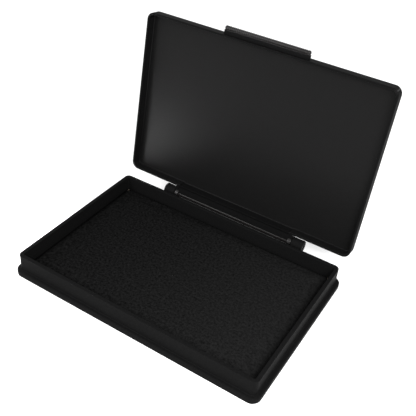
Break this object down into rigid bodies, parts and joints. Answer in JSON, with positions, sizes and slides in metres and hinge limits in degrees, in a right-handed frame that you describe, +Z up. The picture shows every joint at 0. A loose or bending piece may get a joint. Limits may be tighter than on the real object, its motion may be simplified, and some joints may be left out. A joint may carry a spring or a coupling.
{
  "type": "ink pad",
  "caption": "Hinged stamping ink pad: a flat black case with a cloth-covered pad in its well and a lid with a thumb lip that swings on a rod.",
  "frame": {"origin": "middle of the case's underside, on the surface that it rests on", "axes": "+X along the case's long side, +Y towards the hinge, +Z up"},
  "size_m": [0.18, 0.1501, 0.1405],
  "materials": {
    "case_plastic": "moulded black plastic with a fine satin grain",
    "lid_plastic": "moulded black plastic with a semi-gloss inner face",
    "rod_steel": "black-oxide steel wire, satin",
    "inked_cloth": "fine black cloth with a bumpy felted grain, damp with ink",
    "inked_felt": "dense black wool felt",
    "inked_foam": "open-cell foam soaked with black ink",
    "backing_card": "stiff grey-brown board",
    "adhesive_tape": "double-sided adhesive tape"
  },
  "bodies": {
    "case": {"base_tray": "case_plastic", "adhesive_strips": "adhesive_tape", "backing_board": "backing_card", "foam_reservoir": "inked_foam", "felt_layer": "inked_felt", "cover_cloth": "inked_cloth", "hinge_rod": "rod_steel"},
    "lid": {"lid_shell": "lid_plastic"}
  },
  "joints": [
    {"name": "lid_hinge", "type": "hinge", "parent": "case", "child": "lid", "pos_m": [0, 0.0659, 0.0112], "axis": [1, 0, 0], "range_deg": [0, 98.4]}
  ]
}
